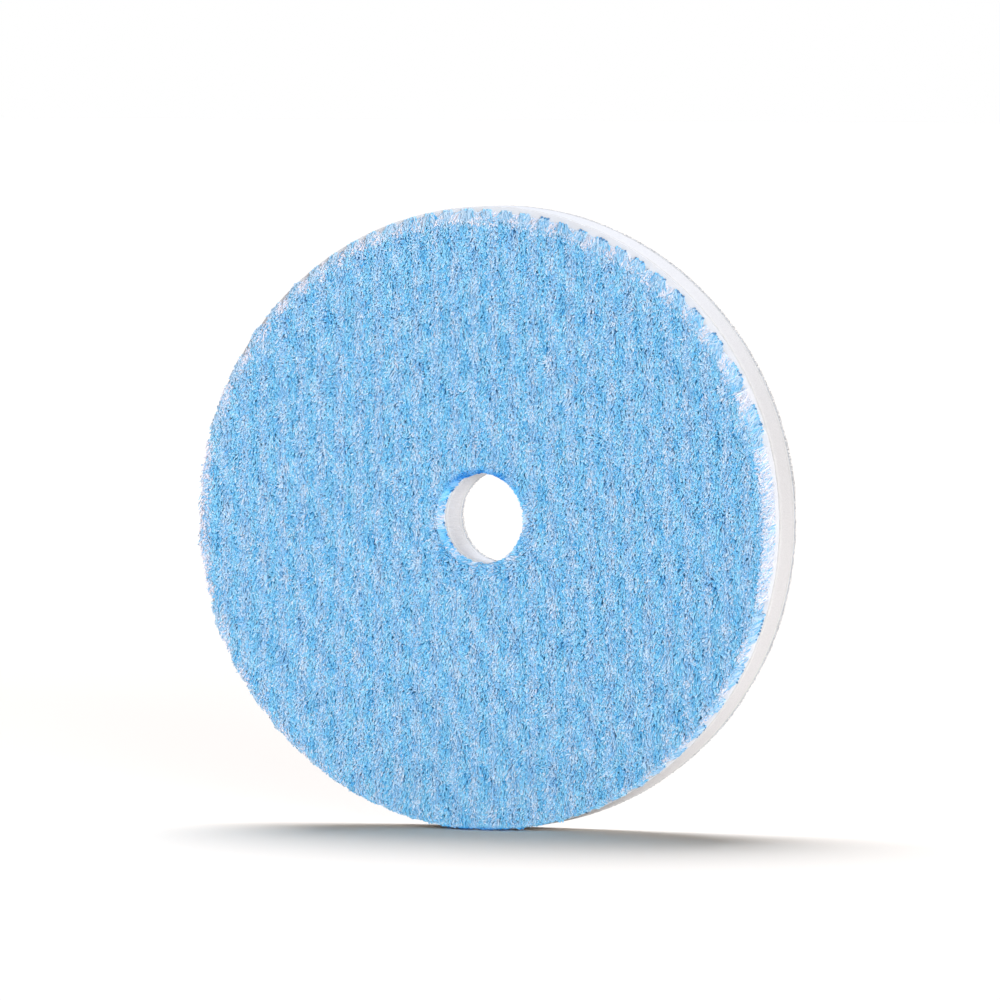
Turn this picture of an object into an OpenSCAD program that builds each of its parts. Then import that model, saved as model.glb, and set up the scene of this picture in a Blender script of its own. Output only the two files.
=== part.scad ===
// Microfibre polishing pad: a two-colour knitted pile on a foam disc, with a hook-and-loop back.
// The pad stands on its rim. Its axis is Y: the pile faces -Y and the loop nap faces +Y.
// The origin is the centre of the loop nap's face. All sizes are in millimetres.

/* [Pad] */
// Diameter of the pad
pad_d = 150; // [120:1:180]
// Diameter of the hole through the centre
hole_d = 22; // [16:1:30]

/* [Layers, from the machine's side] */
// Height of the looped nap that the machine's hooks grip
nap_t = 1.4; // [0.8:0.1:2.5]
// Thickness of the loop cloth's knitted ground
loop_ground_t = 0.6; // [0.4:0.1:1.2]
// Thickness of each film of adhesive
film_t = 0.3; // [0.2:0.1:0.6]
// Thickness of the foam core
foam_t = 9; // [6:0.5:20]
// Thickness of the cloth that the pile is knitted into
backing_t = 0.8; // [0.5:0.1:1.5]

/* [Pile] */
// Length of the pile
pile_h = 6; // [4:0.5:10]
// Distance from one blue row to the next, with a white row halfway
row_pitch = 5; // [4:0.5:8]
// Gap between a blue row and the white row beside it
row_gap = 0.2; // [0.1:0.1:0.5]
// How far inside the rim the roots of the pile stay
root_inset = 0.4; // [0.2:0.1:1]
// How much further inside the rim the tips are, because the outer fibres lie over
tip_inset = 3; // [1:0.5:4]
// How far the roots of the pile stay outside the centre hole
mouth_gap = 0.3; // [0.2:0.1:1]
// How much the pile's own hole widens from its roots to its tips
mouth_flare = 1; // [0.5:0.5:2]

/* [Hidden] */
$fn = 180;
pad_r = pad_d / 2;
hole_r = hole_d / 2;

// How far the back of each layer is from the face of the loop nap
loop_ground_at = nap_t;
rear_film_at = loop_ground_at + loop_ground_t;
foam_at = rear_film_at + film_t;
front_film_at = foam_at + foam_t;
backing_at = front_film_at + film_t;
pile_at = backing_at + backing_t;

root_r = pad_r - root_inset;
tip_r = root_r - tip_inset;
mouth_r = hole_r + mouth_gap;
// Turn from one point to the next on the pile's rounded edges, in degrees
edge_step = 18;

row_w = row_pitch / 2 - row_gap;
last_blue = floor((root_r - row_w / 2) / row_pitch);
last_white = floor((root_r - row_w / 2 - row_pitch / 2) / row_pitch);

function two_digits(n) = n < 10 ? str("0", n) : str(n);
function blue_name(n) = str("blue_yarn_rows_", two_digits(n));
function white_name(n) = str("white_yarn_rows_", two_digits(n));

// Stands a stack that was built up along Z on its rim, with the stack's top facing -Y.
module stand() {
    rotate([90, 0, 0]) children();
}

// One flat ring of the pad, whose back is at depth z from the loop nap's face.
module ring(z, thickness) {
    stand()
    rotate_extrude()
    translate([hole_r, z])
    square([pad_r - hole_r, thickness]);
}

module loop_nap() {
    color("gainsboro") ring(0, nap_t);
}

module loop_ground_cloth() {
    color("whitesmoke") ring(loop_ground_at, loop_ground_t);
}

module rear_adhesive_film() {
    color("lightyellow") ring(rear_film_at, film_t);
}

module foam_core() {
    color("white") ring(foam_at, foam_t);
}

module front_adhesive_film() {
    color("lightyellow") ring(front_film_at, film_t);
}

module pile_backing_cloth() {
    color("aliceblue") ring(backing_at, backing_t);
}

// The space that all the pile fills: it rounds inwards at the rim and outwards at the hole.
module pile_space() {
    rotate_extrude()
    translate([0, pile_at])
    polygon([
        for (turn = [0:edge_step:90])
            [tip_r + tip_inset * cos(turn), pile_h * sin(turn)],
        for (turn = [90:-edge_step:0])
            [mouth_r + mouth_flare * (1 - cos(turn)), pile_h * sin(turn)]
    ]);
}

// One row of pile yarn, centred on x and as long as the pad is at that place.
module yarn_row(x) {
    stand()
    intersection() {
        pile_space();
        translate([x - row_w / 2, -pad_r, pile_at])
        cube([row_w, pad_d, pile_h]);
    }
}

// The two equal rows on the left and on the right of the centre, or the one row at the centre.
module yarn_row_pair(x) {
    yarn_row(x);
    if (x > 0) yarn_row(-x);
}

module blue_yarn_rows(n) {
    color("cornflowerblue") yarn_row_pair(n * row_pitch);
}

module white_yarn_rows(n) {
    color("azure") yarn_row_pair((n + 0.5) * row_pitch);
}

loop_nap();
loop_ground_cloth();
rear_adhesive_film();
foam_core();
front_adhesive_film();
pile_backing_cloth();
for (n = [0:last_blue])
    blue_yarn_rows(n);
for (n = [0:last_white])
    white_yarn_rows(n);
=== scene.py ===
import math
from collections import namedtuple

import bpy
import numpy as np
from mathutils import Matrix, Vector


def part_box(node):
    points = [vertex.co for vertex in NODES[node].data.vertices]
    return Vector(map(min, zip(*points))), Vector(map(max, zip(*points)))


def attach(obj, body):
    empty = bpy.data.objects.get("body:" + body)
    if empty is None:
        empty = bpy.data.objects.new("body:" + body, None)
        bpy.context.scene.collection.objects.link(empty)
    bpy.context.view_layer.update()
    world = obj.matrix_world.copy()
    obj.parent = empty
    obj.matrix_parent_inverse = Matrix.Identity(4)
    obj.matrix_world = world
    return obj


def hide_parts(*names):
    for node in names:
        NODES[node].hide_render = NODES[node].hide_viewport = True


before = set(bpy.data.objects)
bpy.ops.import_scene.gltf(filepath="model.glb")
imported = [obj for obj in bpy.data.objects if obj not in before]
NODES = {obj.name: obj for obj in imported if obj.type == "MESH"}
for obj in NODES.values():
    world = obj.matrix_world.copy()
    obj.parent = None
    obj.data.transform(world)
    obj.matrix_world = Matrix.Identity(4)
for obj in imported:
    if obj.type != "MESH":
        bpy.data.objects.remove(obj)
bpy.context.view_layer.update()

# ---------------------------------------------------------------------------------------------
# Sizes in metres, read from the CAD's boxes where a box shows them
# ---------------------------------------------------------------------------------------------
MM = 0.001
BLUE_NODES = sorted(n for n in NODES if n.startswith("blue_yarn_rows"))
WHITE_NODES = sorted(n for n in NODES if n.startswith("white_yarn_rows"))

PAD_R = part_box("foam_core")[1].x
ROW_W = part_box(BLUE_NODES[0])[1].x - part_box(BLUE_NODES[0])[0].x
ROW_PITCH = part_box(BLUE_NODES[1])[1].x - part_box(BLUE_NODES[0])[1].x
LAST_ROW_X = max(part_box(n)[1].x for n in BLUE_NODES + WHITE_NODES) - ROW_W / 2
PILE_ROOT_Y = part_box("pile_backing_cloth")[0].y
PILE_TIP_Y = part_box(BLUE_NODES[0])[0].y
PILE_H = PILE_ROOT_Y - PILE_TIP_Y
HOLE_R = 11 * MM
FLOOR_Z = -PAD_R
FACING = np.array([0, -1, 0])       # the way that the pile faces

# Where the pile is rooted
ROOT_R = PAD_R - 0.15 * MM          # the outermost roots
WHITE_ROOT_R = PAD_R - 0.9 * MM     # the white rows stop a little short of the rim, so that it is scalloped
MOUTH_R = HOLE_R + 0.3 * MM         # the innermost roots
LINE_OFFSET = 0.62 * MM             # a row is two lines of tufts, this far each side of its middle
TUFT_PITCH = 1.2 * MM               # from one tuft to the next along a line
MOUTH_PITCH = 0.6 * MM              # between the tufts that line the hole
RIM_PITCH = 0.8 * MM                # and the rim
TUFT_SCATTER = 0.12 * MM            # how far a tuft strays along its line
ROOT_SCATTER = 0.22 * MM            # how far a strand strays from the middle of its tuft
UPPER_INSET = 1.2 * MM              # how much further in the tufts stand at the upper right of the rim
INSET_FADE = 8                      # the higher this is, the sooner the inset fades away from the rim
TOP_SHARE = 0.4                     # how much of it there is at the very top
TO_THE_RIGHT = 2                    # and how fast it grows from there to the right

# A strand
STRANDS = 14                        # in one tuft
STRAND_SIDES = 3
STRAND_R = 0.17 * MM                # at the root
STRAND_TAPER = np.array([1.0, 1.0, 0.85, 0.0])      # of that, at its four points
STRAND_SIZES = (0.7, 1.25)          # the thinnest strand and the thickest
THICKEST = 0.34 * MM                # no yarn at the rim is thicker, so this far off the floor none sinks in
HEIGHT_SPREAD = 0.06                # how much shorter than the pile a strand usually is
SHORT_EDGE = 0.45                   # and how much shorter it may be on the very rim
SHORT_MOUTH = 0.8                   # and beside the hole, as a share of that
MIDDLE_AT = np.array([0.4, 0.5, 0.45])      # how far along its x, y and z the strand's second point is
NECK_AT = 0.93                      # and its third
CURL = 0.22 * MM                    # how far its middle strays from straight
CURL_SHAPE = np.array([1, 0.3, 1])
ROUNDNESS = 0.33                    # how much of its light depends on its own round side

# How the strands are combed
LEAN = (1.2 * MM, -1.4 * MM)        # how far the tips are combed over, in x and z
LEAN_DRIFT = (0.6 * MM, 0.5 * MM)   # how much that differs from patch to patch
LEAN_PATCHES = ((4 * MM, 6 * MM), (6 * MM, 6 * MM))
FAN = (0.75 * MM, 0.85 * MM)        # how far a tuft's tips spread, in x and z
MOUTH_REACH = 3 * MM                # how far from the hole its strands turn towards it instead
MOUTH_LEAN = 0.9 * MM               # and how far they lean in

# The outline that the tips keep to
TIP_R = PAD_R - 3.4 * MM            # where the pile is sheared to a round edge
MOUTH_TIP_R = HOLE_R + 0.25 * MM
SOFT_EDGE = 3.6 * MM                # how far in from the outline its pull begins
HANGING_FIRMNESS = 0.6              # and how much later it begins where the edge hangs over
DROOP = 2.9 * MM                    # how far the edge hangs over
PROUD = 0.4 * MM                    # how far a tip stands out of the edge
LOW_PROUD = 0.6                     # how much less of that there is at the bottom, where the pad stands on it
MOUTH_PROUD = 0.07 * MM             # how far a tip stands out into the hole
HANG_RIGHT = 0.45                   # how much of the hang at the bottom there is on the right
HANG_LEFT = (0.8, 0.1)              # and on the left, and how much less of it higher up

# Shades, from 0 to 1 along a yarn's palette
SHADE_PATCH = (1.6 * MM, 5 * MM)    # the size of the lighter and darker patches
PATCH_SPREAD = 0.14                 # how much the shade differs from patch to patch
STRAND_SPREAD = 0.17                # and from strand to strand
KNOT_SPREAD = 0.1                   # and from knot to knot
LEAST_SHADE = 0.06
INNER_SHADES = 0.9                  # the shades of the pile end here, and those of the rim's sides, which are painted shade, begin
RIM_PALEST = 0.2                    # where among those the palest at the rim is, from 0 to 1
MOUTH_PALEST = 0.6                  # and the palest beside the hole
TOP_DEPTH = 0.7                     # at the top of the rim they are drawn nearer to the pale end by this
DEPTH_TO_THE_RIGHT = 1.5            # and less so to the right, as fast as this
LEAST_DEPTH = 0.65                  # on the left by this
MOUTH_SIDES = 0.3                   # the share of the strands beside the hole that have them
MOUTH_PAINTED_SHADE = 0.6                   # and what the shades of the rest are multiplied by: painted shade, as the light falls fully on the hole's side
MOUTH_SIDE_TOP = 0.4                # how far up the hole both go, as a share of its radius
RIM_LIFT = 0.6                      # how much less of a strand's root is darkened by painted shade where the edge is open
LOWEST = (0.75, 0.95)               # where the rim's shades fade out towards the bottom, as z over the radius

# Painted shade, where daylight is shut out
FLOOR_SHADE_FROM = 0.45 * MM            # the yarn that the pad stands on is painted darker, as painted shade where it meets the floor
FLOOR_SHADE_H = 0.7 * MM
UNDER_H = 1.5 * MM                  # how far up the hole's upper edge the yarn is seen from its shaded side
UNDER_SLOPE = 2.4                   # how fast that shade begins round the hole

# The turns of yarn at the base of the pile
KNOT_TURN = [(-0.6, 0.0), (-0.22, 0.05), (0.03, 0.35), (-0.12, 0.8), (-0.57, 1.1)]      # out and up, in mm
KNOT_TAPER = np.array([0.7, 1.0, 1.0, 0.9, 0.4])
KNOT_SIZES = (0.17 * MM, 0.24 * MM)
KNOT_SIDES = 5
KNOT_SCATTER = 0.08 * MM
KNOT_STRIP = (1.0 * MM, 1.1 * MM)   # they are only made this near to the hole and this near to the rim
KNOT_AT_EDGE = 0.6                  # how much of their way to the edge they are moved
KNOT_V = 0.4                        # where on the way from root to tip their colour is taken, and so how much painted root shade they get
PALE_KNOT = 0.7                     # the shade of the rim's knots at the top and on the left
PALE_KNOT_X = 0.15                  # which begins here, as x over the radius
DARK_SPOTS = 25                     # the places around the hole where the yarn's roots and knots are painted dark, as painted shade at the pile's base
DARK_SPOT_EDGE = 0.4                # how narrow they are
DARK_GROWTH = (1.8, 1.4)            # how much thicker the dark knots are at the hole and at the rim
DARK_V = (0.25, 2)                  # and where their colour is taken, as a share of DEEP, deep in the painted root shade
DARK_V_RISE = 0.1


# ---------------------------------------------------------------------------------------------
# Mesh helpers
# ---------------------------------------------------------------------------------------------
def new_mesh_object(name, verts, corners, sizes, uv=None, normals=None):
    """An object made of polygons: corners lists their vertices in turn, sizes how many each one has."""
    mesh = bpy.data.meshes.new(name)
    mesh.vertices.add(len(verts))
    mesh.vertices.foreach_set("co", np.ascontiguousarray(verts, np.float32).ravel())
    mesh.loops.add(len(corners))
    mesh.loops.foreach_set("vertex_index", np.ascontiguousarray(corners, np.int32))
    starts = np.concatenate([[0], np.cumsum(sizes)[:-1]]).astype(np.int32)
    mesh.polygons.add(len(sizes))
    mesh.polygons.foreach_set("loop_start", starts)
    mesh.polygons.foreach_set("use_smooth", np.ones(len(sizes), bool))
    if uv is not None:
        layer = mesh.uv_layers.new(name="OFBake")
        layer.data.foreach_set("uv", np.ascontiguousarray(uv[corners], np.float32).ravel())
    mesh.update(calc_edges=True)
    if normals is not None:
        mesh.normals_split_custom_set_from_vertices(normals.tolist())
    obj = bpy.data.objects.new(name, mesh)
    bpy.context.scene.collection.objects.link(obj)
    return obj


def unit(v):
    """The same vectors, each one unit long."""
    return v / np.maximum(np.linalg.norm(v, axis=-1, keepdims=True), 1e-12)


def share_of(part, radius):
    """part / radius, also where the radius is 0."""
    return part / np.maximum(radius, 1e-9)


def tubes(paths, radii, across, shade, sides, pointed=True, face=None, roundness=1.0):
    """Closed thin tubes along paths (n, k, 3), with radii (n, k) and one shade (n) each.

    Returns vertices, corners, sizes, a UV per vertex, where u is the shade and v runs from root to
    tip, and normals. A thin fibre lets light through, so its normals turn from its own round side
    towards face, the way that the nap as a whole faces, as roundness goes from 1 to 0.
    """
    n, k, _ = paths.shape
    along = np.empty_like(paths)
    along[:, 1:-1] = paths[:, 2:] - paths[:, :-2]
    along[:, 0] = paths[:, 1] - paths[:, 0]
    along[:, -1] = paths[:, -1] - paths[:, -2]
    along = unit(along)
    side_a = unit(np.cross(along, across[:, None, :]))
    side_b = np.cross(along, side_a)
    angle = np.arange(sides) * 2 * math.pi / sides
    cos, sin = np.cos(angle)[:, None], np.sin(angle)[:, None]
    spoke = cos * side_a[:, :, None, :] + sin * side_b[:, :, None, :]
    rings = paths[:, :, None, :] + radii[:, :, None, None] * spoke
    v = np.linspace(0.02, 0.98, k)      # just inside both ends of the palette
    if pointed:
        verts = np.concatenate([rings[:, :-1].reshape(n, -1, 3), paths[:, -1:]], axis=1)
        normals = np.concatenate([spoke[:, :-1].reshape(n, -1, 3), along[:, -1:]], axis=1)
        v = np.concatenate([np.repeat(v[:-1], sides), v[-1:]])
    else:
        verts = rings.reshape(n, -1, 3)
        normals = spoke.reshape(n, -1, 3)
        v = np.repeat(v, sides)
    if face is not None:
        normals = unit(roundness * normals + (1 - roundness) * face)
    faces = tube_faces(k, sides, pointed)
    corners = np.array([c for f in faces for c in f])
    per = verts.shape[1]
    corners = (corners[None] + per * np.arange(n)[:, None]).ravel()
    sizes = np.tile([len(f) for f in faces], n)
    uv = np.stack([np.repeat(shade, per), np.tile(v, n)], axis=1)
    return verts.reshape(-1, 3), corners, sizes, uv, normals.reshape(-1, 3)


def tube_faces(points, sides, pointed):
    """The faces of one tube: its root, its sides and its end, which is a point or flat."""
    faces = [list(range(sides))[::-1]]
    last = points - 2 if pointed else points - 1
    for ring in range(last):
        for j in range(sides):
            a, b = ring * sides + j, ring * sides + (j + 1) % sides
            faces.append([a, b, b + sides, a + sides])
    if pointed:
        tip = last * sides + sides
        for j in range(sides):
            faces.append([last * sides + j, last * sides + (j + 1) % sides, tip])
    else:
        faces.append([last * sides + j for j in range(sides)])
    return faces


def join_parts(parts):
    """Several results of tubes() as one."""
    offset, joined = 0, []
    for verts, corners, *rest in parts:
        joined.append((verts, corners + offset, *rest))
        offset += len(verts)
    return [np.concatenate(column) for column in zip(*joined)]


def drift(x, z, size, seed):
    """Smooth noise, about -1 to 1, made of a few waves. Its patches are about size across in x and z."""
    waves, highest = 7, 3.2
    rng = np.random.default_rng(seed)
    total = 0
    for _ in range(waves):
        turn, phase = rng.uniform(0, 2 * math.pi, 2)
        rate = rng.uniform(0.6, 1.5) * math.pi
        along = x / size[0] * math.cos(turn) + z / size[1] * math.sin(turn)
        total = total + np.sin(rate * along + phase)
    return total / highest


# ---------------------------------------------------------------------------------------------
# Materials
# ---------------------------------------------------------------------------------------------
def srgb(r, g, b):
    """A display colour, 0 to 255, as the linear colour that a shader takes."""
    return tuple(((c / 255 + 0.055) / 1.055) ** 2.4 if c > 10 else c / 255 / 12.92 for c in (r, g, b)) + (1,)


def new_material(name, roughness, sheen=0.0, specular=0.2):
    """A material, its nodes, its links and its shader."""
    material = bpy.data.materials.new(name)
    material.use_nodes = True
    nodes, links = material.node_tree.nodes, material.node_tree.links
    shader = nodes["Principled BSDF"]
    shader.inputs["Roughness"].default_value = roughness
    shader.inputs["Specular IOR Level"].default_value = specular
    shader.inputs["Sheen Weight"].default_value = sheen
    return material, nodes, links, shader


def ramp(nodes, stops):
    """A colour ramp with the given (place, colour) stops."""
    node = nodes.new("ShaderNodeValToRGB")
    elements = node.color_ramp.elements
    while len(elements) < len(stops):
        elements.new(0.5)
    for element, (at, colour) in zip(elements, stops):
        element.position = at
        element.color = colour
    return node


# Yarn that daylight doesn't reach is this much darker, up to this far from its root
DEEPEST = (0.16, 0.32, 0.5, 1)
DEEP = 0.06
UNCHANGED = (1, 1, 1, 1)


def fibre_material(name, shades, roots, root_reach, roughness=0.75, sheen=0.15, specular=0.2):
    """Yarn whose colour runs over shades with u, and over roots, a painted shade multiplier, from root to tip
    with v.
    """
    material, nodes, links, shader = new_material(name, roughness, sheen, specular)
    uv = nodes.new("ShaderNodeUVMap")
    uv.uv_map = "OFBake"
    split = nodes.new("ShaderNodeSeparateXYZ")
    links.new(uv.outputs["UV"], split.inputs["Vector"])
    shade = ramp(nodes, shades)
    links.new(split.outputs["X"], shade.inputs["Fac"])
    # painted shade: the yarn darkens towards its root, down where the pile shades it
    root = ramp(nodes, [(0.0, DEEPEST), (DEEP, roots), (root_reach, UNCHANGED)])
    links.new(split.outputs["Y"], root.inputs["Fac"])
    mix = nodes.new("ShaderNodeMix")
    mix.data_type = "RGBA"
    mix.blend_type = "MULTIPLY"
    mix.inputs["Factor"].default_value = 1.0
    links.new(shade.outputs["Color"], mix.inputs["A"])
    links.new(root.outputs["Color"], mix.inputs["B"])
    links.new(mix.outputs["Result"], shader.inputs["Base Color"])
    return material


# The first colour of each yarn is painted shade, that of its shaded turns at the base; the last is painted
# shade too, darker and greyer, for its tufts at the rim, which are seen from the side and lit more fully
BLUE_YARN = fibre_material(
    "blue_microfibre",
    [
        (0.0, srgb(98, 142, 175)),
        (0.05, srgb(60, 153, 214)),
        (0.32, srgb(104, 184, 229)),
        (0.63, srgb(145, 206, 236)),
        (INNER_SHADES, srgb(204, 221, 238)),
        (1.0, srgb(116, 175, 215)),
    ],
    roots=(0.4, 0.68, 0.93, 1),
    root_reach=0.45,
)
WHITE_YARN = fibre_material(
    "white_microfibre",
    [
        (0.0, srgb(98, 142, 175)),
        (0.04, srgb(122, 184, 228)),
        (0.36, srgb(183, 212, 235)),
        (INNER_SHADES, srgb(239, 232, 241)),
        (1.0, srgb(188, 199, 216)),
    ],
    roots=(0.6, 0.78, 0.95, 1),
    root_reach=0.45,
)
# The cloth shows the blue yarn that is worked through it at u 0, and its own colour at u 1
BACKING = fibre_material(
    "backing_knit",
    [(0.0, srgb(110, 175, 215)), (1.0, srgb(202, 203, 207))],
    roots=UNCHANGED,
    root_reach=0.5,
)
LOOP_NYLON = fibre_material(
    "loop_nylon",
    [(0.0, srgb(180, 181, 184)), (0.5, srgb(198, 199, 201)), (1.0, srgb(214, 215, 217))],
    roots=(0.9, 0.9, 0.92, 1),
    root_reach=0.3,
    roughness=0.6,
    sheen=0.0,
    specular=0.08,
)


def grained_material(name, low, high, scale, roughness, bump):
    """A soft solid's material: fine cells in colour, from low to high, and in relief."""
    material, nodes, links, shader = new_material(name, roughness, specular=0.03)
    place = nodes.new("ShaderNodeTexCoord")
    cells = nodes.new("ShaderNodeTexVoronoi")
    cells.inputs["Scale"].default_value = scale
    links.new(place.outputs["Object"], cells.inputs["Vector"])
    colour = ramp(nodes, [(0.0, low), (0.6, high)])
    links.new(cells.outputs["Distance"], colour.inputs["Fac"])
    links.new(colour.outputs["Color"], shader.inputs["Base Color"])
    relief = nodes.new("ShaderNodeBump")
    relief.inputs["Strength"].default_value = bump
    relief.inputs["Distance"].default_value = 0.1 * MM
    links.new(cells.outputs["Distance"], relief.inputs["Height"])
    links.new(relief.outputs["Normal"], shader.inputs["Normal"])
    return material


FOAM = grained_material(
    "white_foam", srgb(205, 204, 206), srgb(217, 216, 218), scale=2600, roughness=0.85, bump=0.35
)
KNIT = grained_material(
    "knit_cloth", srgb(172, 178, 190), srgb(190, 196, 205), scale=1500, roughness=0.9, bump=0.5
)
FILM = grained_material(
    "adhesive_film", srgb(188, 188, 187), srgb(200, 200, 199), scale=900, roughness=0.35, bump=0.2
)


# ---------------------------------------------------------------------------------------------
# The pile
# ---------------------------------------------------------------------------------------------
def tuft_places(row_x, reach_r, rng):
    """Where the tufts of one row are rooted: two staggered lines, and its part of both edges."""
    xs, zs = [], []
    for side in (-1, 1):
        x = row_x + side * LINE_OFFSET
        reach = math.sqrt(max(reach_r**2 - x * x, 0))
        z = np.arange(-reach, reach, TUFT_PITCH) + (side + 1) * TUFT_PITCH / 4
        z = z + rng.normal(0, TUFT_SCATTER, z.shape)
        keep = (np.hypot(x, z) > MOUTH_R) & (np.hypot(x, z) < reach_r)
        zs.append(z[keep])
        xs.append(np.full(keep.sum(), x))
    for edge_r, pitch in ((MOUTH_R + MOUTH_PITCH / 2, MOUTH_PITCH), (reach_r - RIM_PITCH / 2, RIM_PITCH)):
        turn = np.arange(0, 2 * math.pi, pitch / edge_r)
        x, z = edge_r * np.cos(turn), edge_r * np.sin(turn)
        mine = np.abs(np.clip(x, -LAST_ROW_X, LAST_ROW_X) - row_x) < ROW_PITCH / 4
        xs.append(x[mine])
        zs.append(z[mine])
    return np.concatenate(xs), np.concatenate(zs)


def inset_upper_rim(x, z):
    """The same places, moved inwards near the rim's upper right, where its tufts stand further in."""
    radius = np.hypot(x, z)
    near_rim = (radius / PAD_R) ** INSET_FADE
    upper_right = np.clip(z / radius, 0, 1) * np.clip(TOP_SHARE + TO_THE_RIGHT * x / radius, 0, 1)
    pull = 1 - UPPER_INSET / PAD_R * near_rim * upper_right
    return x * pull, z * pull


def hanging(x, z):
    """1 where the pile hangs over the edge, at the bottom, and less at the sides; 0 at the top."""
    down = HANG_RIGHT * np.maximum(x, 0) - z
    left = -HANG_LEFT[0] * x - HANG_LEFT[1] * z
    return np.clip(share_of(np.maximum(down, left), np.hypot(x, z)), 0, 1)


def inside_pile(tip_x, tip_z, depth, rng):
    """Pulls tips in to the pile's rounded outline at the rim and at the hole, with a few left proud."""
    radius = np.hypot(tip_x, tip_z)
    high = np.clip(depth / PILE_H, 0, 1)
    edge = TIP_R + DROOP * hanging(tip_x, tip_z) ** 2
    edge = edge + (ROOT_R - edge) * np.sqrt(np.clip(1 - high**2, 0, 1))
    proud = np.abs(rng.normal(0, PROUD, radius.shape))
    edge = edge + proud * (1 - LOW_PROUD * np.clip(share_of(-tip_z, radius), 0, 1))
    soft = SOFT_EDGE * (1 - HANGING_FIRMNESS * hanging(tip_x, tip_z))
    easy = edge - soft
    eased = edge - soft * np.exp(-np.maximum(radius - easy, 0) / soft)
    proud = np.abs(rng.normal(0, MOUTH_PROUD, radius.shape))
    mouth = MOUTH_R + (MOUTH_TIP_R - MOUTH_R) * high**2 - proud
    wanted = np.where(radius > easy, eased, np.maximum(radius, mouth))
    pull = share_of(wanted, radius)
    return tip_x * pull, np.maximum(tip_z * pull, FLOOR_Z + THICKEST)


def strand_tips(root_x, root_z, root_r, height, rng):
    """Where the tips are: combed over and fanned out, or turned towards the hole beside it."""
    comb_x = LEAN[0] + LEAN_DRIFT[0] * drift(root_x, root_z, LEAN_PATCHES[0], seed=11)
    comb_z = LEAN[1] + LEAN_DRIFT[1] * drift(root_x, root_z, LEAN_PATCHES[1], seed=12)
    near_mouth = np.clip(1 - (root_r - MOUTH_R) / MOUTH_REACH, 0, 1)
    inward = -MOUTH_LEAN * near_mouth / root_r
    shape = root_x.shape
    tip_x = root_x + comb_x * (1 - near_mouth) + root_x * inward + rng.normal(0, FAN[0], shape)
    tip_z = root_z + comb_z * (1 - near_mouth) + root_z * inward + rng.normal(0, FAN[1], shape)
    return inside_pile(tip_x, tip_z, height, rng)


def strand_shades(root_x, root_z, root_r, open_edge, at_mouth, tone, rng):
    """A shade for each strand: about tone, or one of the rim's darker ones, painted shade, where it's seen
    from the side.
    """
    count = len(root_x)
    patch = drift(root_x, root_z, SHADE_PATCH, seed=21)
    shade = tone + PATCH_SPREAD * patch + rng.normal(0, STRAND_SPREAD, count)
    shade = np.clip(shade, LEAST_SHADE, 1) * INNER_SHADES
    lowest = np.clip((-root_z / root_r - LOWEST[0]) / (LOWEST[1] - LOWEST[0]), 0, 1)
    beside_mouth = at_mouth & (root_z < MOUTH_SIDE_TOP * root_r)
    # painted shade: strands beside the hole are darker, where the light falls fully on them
    shade = np.where(beside_mouth, MOUTH_PAINTED_SHADE * shade, shade)
    # painted shade: strands on the open rim and some beside the hole take the rim's darker colours
    at_side = rng.random(count) < np.where(beside_mouth, MOUTH_SIDES, open_edge * (1 - lowest))
    depth = np.clip(TOP_DEPTH + DEPTH_TO_THE_RIGHT * root_x / root_r, LEAST_DEPTH, 1)
    palest = np.where(beside_mouth, MOUTH_PALEST, RIM_PALEST)
    deep = rng.uniform(palest, 1) * np.where(beside_mouth, 1, depth)
    return np.where(at_side, INNER_SHADES + (1 - INNER_SHADES) * deep, shade)


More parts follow.
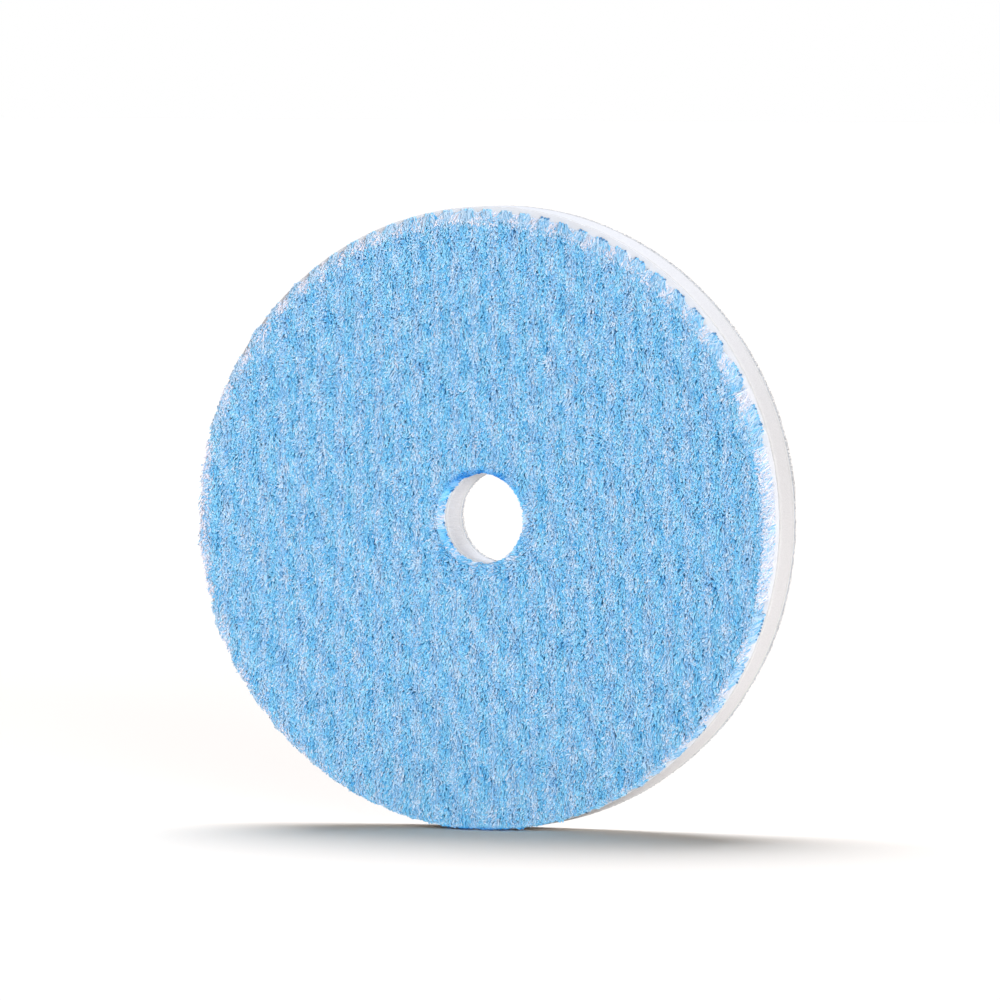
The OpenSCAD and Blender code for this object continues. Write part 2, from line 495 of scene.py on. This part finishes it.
def row_strands(row_x, reach_r, tone, seed):
    """The strands of one row of yarn, whose shade is tone on average."""
    rng = np.random.default_rng(seed)
    tuft_x, tuft_z = tuft_places(row_x, reach_r, rng)
    shape = (len(tuft_x), STRANDS)
    root_x = tuft_x[:, None] + rng.normal(0, ROOT_SCATTER, shape)
    root_z = tuft_z[:, None] + rng.normal(0, ROOT_SCATTER, shape)
    on_backing = np.minimum(1, (PAD_R - THICKEST) / np.hypot(root_x, root_z))
    root_x, root_z = root_x * on_backing, root_z * on_backing
    root_r = np.hypot(root_x, root_z)
    root_x, root_z = inset_upper_rim(root_x, root_z)

    open_edge = np.clip((root_r - TIP_R) / (ROOT_R - TIP_R), 0, 1)
    at_mouth = root_r < MOUTH_R + MM
    height = PILE_H * (1 - np.abs(rng.normal(0, HEIGHT_SPREAD, shape)))
    shorter = rng.uniform(0, SHORT_EDGE, shape) * np.maximum(open_edge, SHORT_MOUTH * at_mouth)
    height = height * (1 - shorter)
    tip_x, tip_z = strand_tips(root_x, root_z, root_r, height, rng)

    root = np.stack([root_x, np.full(shape, PILE_ROOT_Y), root_z], -1).reshape(-1, 3)
    tip = np.stack([tip_x, PILE_ROOT_Y - height, tip_z], -1).reshape(-1, 3)
    count = len(root)
    middle = root + (tip - root) * MIDDLE_AT
    middle = middle + rng.normal(0, CURL, (count, 3)) * CURL_SHAPE
    middle[:, 2] = np.maximum(middle[:, 2], FLOOR_Z + THICKEST)
    neck = root + (tip - root) * NECK_AT
    paths = np.stack([root, middle, neck, tip], axis=1)
    radii = STRAND_TAPER * STRAND_R * rng.uniform(*STRAND_SIZES, count)[:, None]
    turn = rng.uniform(0, 2 * math.pi, count)
    across = np.stack([np.cos(turn), np.zeros(count), np.sin(turn)], -1)

    root_x, root_z, root_r = root_x.ravel(), root_z.ravel(), root_r.ravel()
    open_edge, at_mouth = open_edge.ravel(), at_mouth.ravel()
    shade = strand_shades(root_x, root_z, root_r, open_edge, at_mouth, tone, rng)
    verts, corners, sizes, uv, normals = tubes(
        paths, radii, across, shade, STRAND_SIDES, face=FACING, roundness=ROUNDNESS
    )
    per_strand = len(verts) // count
    # less painted root shade where the open rim or the hole lays a strand bare
    uv[:, 1] += np.repeat(RIM_LIFT * np.maximum(open_edge, at_mouth), per_strand) * (1 - uv[:, 1])
    # painted shade: colour and root shade darken towards DEEP where daylight() is low
    uv = np.minimum(uv, DEEP + (uv - DEEP) * daylight(verts)[:, None])
    at_root = np.arange(len(verts)) % per_strand < STRAND_SIDES
    dark = at_mouth & dark_spot(root_x, root_z)
    # painted shade: at the dark spots the roots take the darkest colour
    uv[at_root & np.repeat(dark, per_strand)] = 0
    return verts, corners, sizes, uv, normals


def dark_spot(x, z):
    """Where around the hole the yarn's roots and knots are painted dark, as painted shade at the pile's base.
    """
    return np.cos(DARK_SPOTS * np.arctan2(z, x)) > DARK_SPOT_EDGE


def daylight(verts):
    """Painted shade: 1 where yarn is in the open, 0 under the hole's upper edge and where the pad stands on
    it.
    """
    x, z = verts[:, 0], verts[:, 2]
    radius = np.hypot(x, z)
    from_floor = np.clip((z - FLOOR_Z - FLOOR_SHADE_FROM) / FLOOR_SHADE_H, 0, 1)
    from_mouth = np.clip(1 - (radius - MOUTH_R) / UNDER_H, 0, 1)
    under = np.clip(UNDER_SLOPE * z / radius - 1, 0, 1) * from_mouth
    return from_floor * (1 - under)


def base_knots(row_x, reach_r, tone, dark_share, seed):
    """The turns of yarn at the pile's base, which show along the rim and around the hole."""
    rng = np.random.default_rng(seed)
    x, z = tuft_places(row_x, reach_r, rng)
    radius = np.hypot(x, z)
    keep = (radius > reach_r - KNOT_STRIP[1]) | (radius < MOUTH_R + KNOT_STRIP[0])
    x, z, radius = x[keep], z[keep], radius[keep]
    count = len(x)
    at_mouth = radius < PAD_R / 2
    out = np.stack([x / radius, np.zeros(count), z / radius], -1) * np.where(at_mouth, -1, 1)[:, None]
    base_x, base_z = inset_upper_rim(x, z)
    base = np.stack([base_x, np.full(count, PILE_ROOT_Y), base_z], -1)
    to_edge = np.where(at_mouth, radius - MOUTH_R, reach_r - radius)[:, None] * out
    base = base + to_edge * KNOT_AT_EDGE
    paths = np.stack([base + (o * out + up * FACING) * MM for o, up in KNOT_TURN], axis=1)
    paths = paths + rng.normal(0, KNOT_SCATTER, paths.shape)
    paths[..., 2] = np.maximum(paths[..., 2], FLOOR_Z + THICKEST)
    radii = rng.uniform(*KNOT_SIZES, count)
    across = np.stack([-out[:, 2], np.zeros(count), out[:, 0]], -1)

    on_right = x > PALE_KNOT_X * radius
    tones = np.where(at_mouth | on_right, tone, PALE_KNOT)
    shade = np.clip(tones + rng.normal(0, KNOT_SPREAD, count), LEAST_SHADE, 1)
    # painted shade: dark knots take the first, darkest colour and the deepest root shade
    dark = np.where(at_mouth, dark_spot(x, z), (rng.random(count) < dark_share) & on_right)
    shade = np.where(dark, 0, shade)
    radii = radii * np.where(dark, np.where(at_mouth, *DARK_GROWTH), 1)
    verts, corners, sizes, uv, normals = tubes(
        paths, KNOT_TAPER * radii[:, None], across, shade, KNOT_SIDES
    )
    per_knot = len(verts) // count
    dark_v = np.repeat(np.where(at_mouth, *DARK_V) * DEEP, per_knot) + DARK_V_RISE * uv[:, 1]
    uv[:, 1] = np.where(np.repeat(dark, per_knot), dark_v, KNOT_V)
    return verts, corners, sizes, uv, normals


# root_r is how far out a yarn is rooted; tone and knot_tone are the shades of its strands and knots;
# dark_knots is the share of its knots painted dark, as painted shade, along the rim's right side
Yarn = namedtuple("Yarn", "name slot nodes material seed root_r tone knot_tone dark_knots")
BLUE = Yarn("blue_pile", "blue_microfibre", BLUE_NODES, BLUE_YARN, 100, ROOT_R, 0.57, 0.4, 0.45)
WHITE = Yarn("white_pile", "white_microfibre", WHITE_NODES, WHITE_YARN, 200, WHITE_ROOT_R, 0.22, 0.55, 0)
MIRRORED_SEED = 500     # added to the seed for the row on the other side


def pile_piece(yarn, number):
    """One piece of pile: a row each side of the middle, or the one at the middle."""
    node = yarn.nodes[number]
    row_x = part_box(node)[1].x - ROW_W / 2
    rows = [(row_x, yarn.seed + number)]
    if row_x > ROW_W / 2:
        rows.append((-row_x, yarn.seed + number + MIRRORED_SEED))
    parts = [row_strands(x, yarn.root_r, yarn.tone, seed) for x, seed in rows]
    parts += [base_knots(x, yarn.root_r, yarn.knot_tone, yarn.dark_knots, seed) for x, seed in rows]
    piece = new_mesh_object(f"{yarn.name}_{number:02d}", *join_parts(parts))
    piece.data.materials.append(yarn.material)
    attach(piece, "root")
    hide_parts(node)


for yarn in (BLUE, WHITE):
    for number in range(len(yarn.nodes)):
        pile_piece(yarn, number)


# ---------------------------------------------------------------------------------------------
# The layers behind the pile
# ---------------------------------------------------------------------------------------------
RING_SEGMENTS = 720
EVENED_OUT = 1.7            # the size of three uneven values added together, as one
EDGE_INSET = 2              # how far inside the CAD's edge a rough one lies, as a multiple of rough
GROUND_FROM_HOLE = 1.2 * MM     # the part of the backing cloth that shows the yarn worked through it
GROUND_FROM_RIM = 2.5 * MM


def rounded_profile(inner, outer, front, back, radius, steps=4):
    """The outline of a ring's section, in r and y, with rounded corners, from the front of the hole."""
    corners = [(inner, front, 180), (outer, front, 270), (outer, back, 0), (inner, back, 90)]
    points = []
    for r, y, first in corners:
        centre_r = r + radius if r == inner else r - radius
        centre_y = y + radius if y == front else y - radius
        for step in range(steps + 1):
            a = math.radians(first + 90 * step / steps)
            points.append((centre_r + radius * math.cos(a), centre_y + radius * math.sin(a)))
    return points


def fill_profile(points, step):
    """The same closed outline with more points, so that none are further apart than step."""
    out = []
    for (r0, y0), (r1, y1) in zip(points, points[1:] + points[:1]):
        count = max(1, math.ceil(math.hypot(r1 - r0, y1 - y0) / step))
        out += [(r0 + (r1 - r0) * i / count, y0 + (y1 - y0) * i / count) for i in range(count)]
    return out


def ring_piece(name, node, material, corner, step, rough=0.0, tufted=False):
    """A ring in place of a CAD layer, with rounded corners and edges that are rough metres uneven.

    The front of a tufted one shows the yarn that is worked through it.
    """
    lo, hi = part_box(node)
    profile = np.array(fill_profile(rounded_profile(HOLE_R, PAD_R, lo.y, hi.y, corner), step))
    segments = RING_SEGMENTS
    a = np.arange(segments)[None] * 2 * math.pi / segments
    r = profile[:, :1]
    rng = np.random.default_rng(len(name))
    uneven = rng.normal(0, rough, (len(profile), segments))
    uneven = (uneven + np.roll(uneven, 1, 1) + np.roll(uneven, 1, 0)) / EVENED_OUT
    middle = (HOLE_R + PAD_R) / 2
    outwards = np.where(r > middle, 1, -1)
    at_edge = np.abs(r - middle) > middle - HOLE_R - 2 * corner
    r = r + outwards * (uneven - EDGE_INSET * rough) * at_edge
    y = np.repeat(profile[:, 1:], segments, 1)
    verts = np.stack([r * np.cos(a), y, r * np.sin(a)], -1).reshape(-1, 3)
    at = np.arange(len(profile))[:, None] * segments + np.arange(segments)[None]
    nxt = np.roll(at, -1, 0)
    corners = np.stack([at, nxt, np.roll(nxt, -1, 1), np.roll(at, -1, 1)], -1).ravel()
    uv = None
    if tufted:
        radius = np.hypot(verts[:, 0], verts[:, 2])
        front = verts[:, 1] < lo.y + corner / 2
        ground = front & (radius > HOLE_R + GROUND_FROM_HOLE) & (radius < PAD_R - GROUND_FROM_RIM)
        uv = np.stack([np.where(ground, 0, 1), np.ones(len(verts))], -1)
    piece = new_mesh_object(name, verts, corners, np.full(len(corners) // 4, 4), uv)
    piece.data.materials.append(material)
    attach(piece, "root")
    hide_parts(node)
    return piece


foam = ring_piece(
    "foam_disc", "foam_core", FOAM, corner=0.35 * MM, step=1.3 * MM, rough=0.015 * MM
)
backing = ring_piece(
    "pile_backing", "pile_backing_cloth", BACKING,
    corner=0.12 * MM, step=1.5 * MM, rough=0.03 * MM, tufted=True,
)
ground = ring_piece(
    "loop_ground", "loop_ground_cloth", KNIT, corner=0.2 * MM, step=1.5 * MM, rough=0.03 * MM
)
ring_piece("rear_film", "rear_adhesive_film", FILM, corner=0.1 * MM, step=2 * MM)
ring_piece("front_film", "front_adhesive_film", FILM, corner=0.1 * MM, step=2 * MM)


# ---------------------------------------------------------------------------------------------
# The loop nap on the back
# ---------------------------------------------------------------------------------------------
LOOP_PITCH = (0.95 * MM, 0.78 * MM)     # in x and z
LOOP_SCATTER = 0.16 * MM
LOOP_INSET = 0.7 * MM                   # how far from both edges the field of loops stops
EDGE_LOOP_PITCH = 0.45 * MM             # between the loops that line the edges
EDGE_LOOP_INSETS = (0.15 * MM, 0.45 * MM)       # in two circles
EDGE_LOOP_SCATTER = 0.1                 # how far those stray, as a share of their pitch
LOOP_R = 0.065 * MM
LOOP_SIZES = (0.8, 1.25)                # the thinnest loop and the thickest, of that
LOOP_POINTS = 6
LOOP_SIDES = 3
LOOP_SPANS = (0.35, 0.8)                # from one foot to the other, in mm
LOOP_HEIGHTS = (0.6, 0.95)              # as a share of the nap's thickness
LOOP_LEANS = (0.1, 0.6)                 # how far its top leans over, in mm
LOOP_BULGE = 0.9                        # how much wider its middle is than its feet
LOOP_FULLNESS = 0.8                     # the lower, the fuller its arch
LOOP_SUNK = 0.1 * MM                    # how deep its feet are in the cloth
LOOP_COMB = 1.2                         # how much the way that loops lean changes between patches, in radians
LOOP_COMB_PATCH = (12 * MM, 12 * MM)    # of this size
LOOP_COMB_SPREAD = 0.5                  # and how much it differs from loop to loop
LOOP_SHADE = 0.5                        # the usual shade of a loop
LOOP_SHADE_PATCH = (6 * MM, 6 * MM)     # the size of the lighter and darker patches
LOOP_PATCH_SPREAD = 0.15                # how much the shade differs from patch to patch
LOOP_SHADE_SPREAD = 0.2                 # and from loop to loop
LOOP_SECTORS = 6                        # the nap is six pieces


def loop_places(rng):
    """Where the loops stand: a loose grid with staggered rows, and two circles along each edge."""
    x = np.arange(-PAD_R, PAD_R, LOOP_PITCH[0])
    z = np.arange(-PAD_R, PAD_R, LOOP_PITCH[1])
    x, z = np.meshgrid(x, z)
    x = x + rng.normal(0, LOOP_SCATTER, x.shape)
    z = z + rng.normal(0, LOOP_SCATTER, z.shape) + (np.round(x / LOOP_PITCH[0]) % 2) * LOOP_PITCH[1] / 2
    radius = np.hypot(x, z)
    keep = (radius > HOLE_R + LOOP_INSET) & (radius < PAD_R - LOOP_INSET)
    xs, zs = [x[keep]], [z[keep]]
    near, far = EDGE_LOOP_INSETS
    for ring_r in (HOLE_R + near, HOLE_R + far, PAD_R - far, PAD_R - near):
        turn = np.arange(0, 2 * math.pi, EDGE_LOOP_PITCH / ring_r)
        turn = turn + rng.normal(0, EDGE_LOOP_SCATTER * EDGE_LOOP_PITCH / ring_r, turn.shape)
        xs.append(ring_r * np.cos(turn))
        zs.append(ring_r * np.sin(turn))
    return np.concatenate(xs), np.concatenate(zs)


def nap_loops(x, z, rng):
    """Standing loops of nylon: each leaves the ground, bends over and comes back to it."""
    lo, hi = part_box("loop_nap")
    count = len(x)
    turn = rng.uniform(0, math.pi, count)
    span = rng.uniform(*LOOP_SPANS, count)[:, None] * MM
    height = (hi.y - lo.y) * rng.uniform(*LOOP_HEIGHTS, count)[:, None]
    combed = LOOP_COMB * drift(x, z, LOOP_COMB_PATCH, seed=31)
    lean_turn = combed + rng.normal(0, LOOP_COMB_SPREAD, count) + math.pi / 2
    lean = rng.uniform(*LOOP_LEANS, count)[:, None] * MM
    t = np.linspace(0, 1, LOOP_POINTS)[None]
    spread = (t - 0.5) * (1 + LOOP_BULGE * np.sin(math.pi * t)) * span
    rise = np.sin(math.pi * t) ** LOOP_FULLNESS
    px = x[:, None] + spread * np.cos(turn)[:, None] + lean * rise * np.cos(lean_turn)[:, None]
    pz = z[:, None] + spread * np.sin(turn)[:, None] + lean * rise * np.sin(lean_turn)[:, None]
    py = lo.y - LOOP_SUNK + (height + LOOP_SUNK) * rise
    radius = np.hypot(px, pz)
    cut = np.clip(radius, HOLE_R + LOOP_R, PAD_R - LOOP_R) / radius
    px, pz = px * cut, pz * cut
    paths = np.stack([px, py, pz], -1)
    across = np.stack([-np.sin(turn), np.zeros(count), np.cos(turn)], -1)
    radii = np.ones((1, LOOP_POINTS)) * LOOP_R * rng.uniform(*LOOP_SIZES, count)[:, None]
    patch = drift(x, z, LOOP_SHADE_PATCH, seed=32)
    shade = LOOP_SHADE + LOOP_PATCH_SPREAD * patch + rng.normal(0, LOOP_SHADE_SPREAD, count)
    return tubes(paths, radii, across, np.clip(shade, 0, 1), LOOP_SIDES, pointed=False)


def nap_pieces():
    """The nap in equal sectors round the hole, each its own piece."""
    rng = np.random.default_rng(77)
    x, z = loop_places(rng)
    share = (np.arctan2(z, x) + math.pi) / (2 * math.pi)
    sector = (share * LOOP_SECTORS).astype(int) % LOOP_SECTORS
    for number in range(LOOP_SECTORS):
        mine = sector == number
        piece = new_mesh_object(f"nap_loops_{number + 1}", *nap_loops(x[mine], z[mine], rng))
        piece.data.materials.append(LOOP_NYLON)
        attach(piece, "root")
        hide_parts("loop_nap")


nap_pieces()


# ---------------------------------------------------------------------------------------------
# Stage, light and camera
# ---------------------------------------------------------------------------------------------
FLOOR_HALF = 12.0
FLOOR_COLOUR = (0.86, 0.79, 0.715, 1)
STUDIO_LIGHT = (1, 0.93, 0.86, 1)
PLAIN_WHITE = (1, 1, 1, 1)

CAMERA_FROM = (22.0, 2.5)               # azimuth and elevation
CAMERA_DISTANCE = 3.0
VIEW_WIDTH = 241.5 * MM                 # what the picture takes in at the pad
AIM = (-1.64 * MM, 3.86 * MM)           # the middle of the picture, to the left of the origin and above it
SENSOR_WIDTH = 36.0


def stage_floor():
    """The plain pale floor that the pad stands on."""
    mesh = bpy.data.meshes.new("floor")
    half = FLOOR_HALF
    mesh.from_pydata(
        [(-half, -half, FLOOR_Z), (half, -half, FLOOR_Z), (half, half, FLOOR_Z), (-half, half, FLOOR_Z)],
        [],
        [(0, 1, 2, 3)],
    )
    floor = bpy.data.objects.new("floor", mesh)
    bpy.context.scene.collection.objects.link(floor)
    material, _, _, shader = new_material("floor", roughness=0.9)
    shader.inputs["Base Color"].default_value = FLOOR_COLOUR
    floor.data.materials.append(material)


def direction(azimuth, elevation):
    """From the object towards a viewer: azimuth 0 is at -Y, 90 at +X."""
    a, e = math.radians(azimuth), math.radians(elevation)
    return Vector((math.sin(a) * math.cos(e), -math.cos(a) * math.cos(e), math.sin(e)))


def sun(name, azimuth, elevation, strength, spread, colour):
    """A sun gives the same light all over the floor. spread is its width in degrees, for soft shadows."""
    data = bpy.data.lights.new(name, "SUN")
    data.energy = strength * math.pi
    data.angle = math.radians(spread)
    data.color = colour
    light = bpy.data.objects.new(name, data)
    light.rotation_euler = direction(azimuth, elevation).to_track_quat("Z", "Y").to_euler()
    bpy.context.scene.collection.objects.link(light)


def white_world(light_strength):
    """A white studio: plain white behind the object, and light_strength as the light from all round."""
    world = bpy.data.worlds.new("studio")
    bpy.context.scene.world = world
    world.use_nodes = True
    nodes, links = world.node_tree.nodes, world.node_tree.links
    nodes["Background"].inputs["Strength"].default_value = light_strength
    nodes["Background"].inputs["Color"].default_value = STUDIO_LIGHT
    seen = nodes.new("ShaderNodeBackground")
    seen.inputs["Color"].default_value = PLAIN_WHITE
    path = nodes.new("ShaderNodeLightPath")
    mix = nodes.new("ShaderNodeMixShader")
    links.new(path.outputs["Is Camera Ray"], mix.inputs["Fac"])
    links.new(nodes["Background"].outputs["Background"], mix.inputs[1])
    links.new(seen.outputs["Background"], mix.inputs[2])
    links.new(mix.outputs["Shader"], nodes["World Output"].inputs["Surface"])


def set_light():
    """A soft light from the front right, and a high one from behind that casts the shadow."""
    white_world(light_strength=0.2)
    sun("key", azimuth=32, elevation=3, strength=1.6, spread=25, colour=(1, 1, 1))
    sun("back", azimuth=212, elevation=62, strength=1.17, spread=42, colour=(0.93, 1.0, 1.11))


def set_camera():
    """A long lens from far away, a little to the right and just above the pad's middle."""
    data = bpy.data.cameras.new("camera")
    data.sensor_width = SENSOR_WIDTH
    data.lens = SENSOR_WIDTH * CAMERA_DISTANCE / VIEW_WIDTH
    data.clip_end = 100
    camera = bpy.data.objects.new("camera", data)
    bpy.context.scene.collection.objects.link(camera)
    toward = direction(*CAMERA_FROM)
    turn = toward.to_track_quat("Z", "Y")
    target = AIM[0] * (turn @ Vector((1, 0, 0))) + AIM[1] * (turn @ Vector((0, 1, 0)))
    camera.location = target + toward * CAMERA_DISTANCE
    camera.rotation_euler = turn.to_euler()
    bpy.context.scene.camera = camera


stage_floor()
set_light()
set_camera()
bpy.context.scene.view_settings.view_transform = "Standard"
